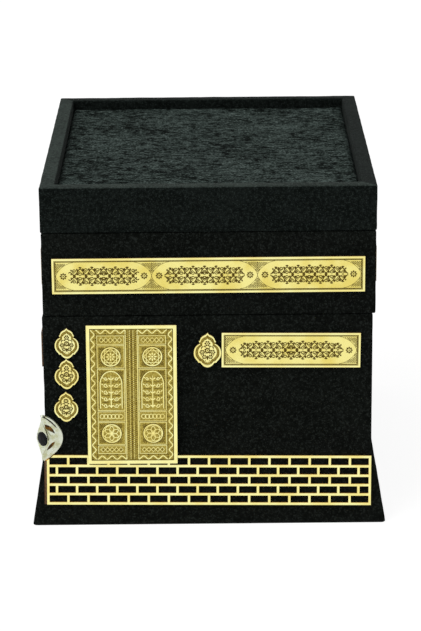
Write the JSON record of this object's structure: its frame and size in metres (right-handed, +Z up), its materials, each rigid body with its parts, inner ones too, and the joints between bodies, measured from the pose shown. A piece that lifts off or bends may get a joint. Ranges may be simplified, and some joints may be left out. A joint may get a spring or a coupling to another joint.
{
  "type": "velvet-covered box",
  "caption": "Velvet-covered box with a flared plinth, a lift-off upper case and a hinged lid with a sunken padded top, decorated with gilt plates and brick lattices.",
  "frame": {"origin": "centre of the footprint, on the surface the box stands on", "axes": "+Z up, the front with the door plate faces -Y, +X to the right as seen from the front"},
  "size_m": [0.2378, 0.2818, 0.233],
  "materials": {
    "black_velvet": "short-pile black velvet",
    "crushed_velvet": "crushed black velvet with a grey-green sheen",
    "fibreboard": "raw medium-density fibreboard",
    "gilt_plate": "gold-mirrored sheet, laser cut and engraved",
    "silvered_metal": "satin silver cast ornament",
    "dark_stone": "polished dark cabochon",
    "hinge_brass": "lacquered brass",
    "lining_paper": "black lining paper"
  },
  "bodies": {
    "lower_case": {"lower_wall_front": "fibreboard", "lower_wall_back": "fibreboard", "lower_wall_left": "fibreboard", "lower_wall_right": "fibreboard", "lower_bottom_board": "fibreboard", "lower_outer_velvet": "black_velvet", "lower_lining_tray": "black_velvet", "base_sheet": "lining_paper", "plinth_wedge_front": "fibreboard", "plinth_wedge_right": "fibreboard", "plinth_wedge_back": "fibreboard", "plinth_wedge_left": "fibreboard", "cartouche_plate_front": "gilt_plate", "cartouche_plate_left": "gilt_plate", "medallion_right": "gilt_plate", "medallion_left_top": "gilt_plate", "medallion_left_middle": "gilt_plate", "medallion_left_bottom": "gilt_plate", "door_plate": "gilt_plate", "brick_lattice_front": "gilt_plate", "brick_lattice_back": "gilt_plate", "corner_ornament_frame": "silvered_metal", "corner_ornament_stone": "dark_stone"},
    "upper_case": {"upper_wall_front": "fibreboard", "upper_wall_back": "fibreboard", "upper_wall_left": "fibreboard", "upper_wall_right": "fibreboard", "upper_floor_board": "fibreboard", "locating_board": "black_velvet", "upper_outer_velvet": "black_velvet", "upper_lining_tray": "black_velvet", "band_plate_front": "gilt_plate", "band_plate_right": "gilt_plate", "band_plate_back": "gilt_plate", "band_plate_left": "gilt_plate", "hinge_left_lower_leaf": "hinge_brass", "hinge_left_pin": "hinge_brass", "hinge_left_lower_screw_1": "hinge_brass", "hinge_left_lower_screw_2": "hinge_brass", "hinge_right_lower_leaf": "hinge_brass", "hinge_right_pin": "hinge_brass", "hinge_right_lower_screw_1": "hinge_brass", "hinge_right_lower_screw_2": "hinge_brass"},
    "lid": {"lid_rim_front": "fibreboard", "lid_rim_back": "fibreboard", "lid_rim_left": "fibreboard", "lid_rim_right": "fibreboard", "lid_panel": "fibreboard", "lid_outer_velvet": "black_velvet", "lid_lining": "black_velvet", "lid_top_pad": "crushed_velvet", "hinge_left_upper_leaf": "hinge_brass", "hinge_left_upper_screw_1": "hinge_brass", "hinge_left_upper_screw_2": "hinge_brass", "hinge_right_upper_leaf": "hinge_brass", "hinge_right_upper_screw_1": "hinge_brass", "hinge_right_upper_screw_2": "hinge_brass"}
  },
  "joints": [
    {"name": "upper_case_lift", "type": "slide", "parent": "lower_case", "child": "upper_case", "axis": [0, 0, 1], "range_m": [0, 0.12]},
    {"name": "lid_hinge", "type": "hinge", "parent": "upper_case", "child": "lid", "pos_m": [0.0013, 0.1346, 0.2022], "axis": [-1, 0, 0], "range_deg": [0, 95]}
  ]
}
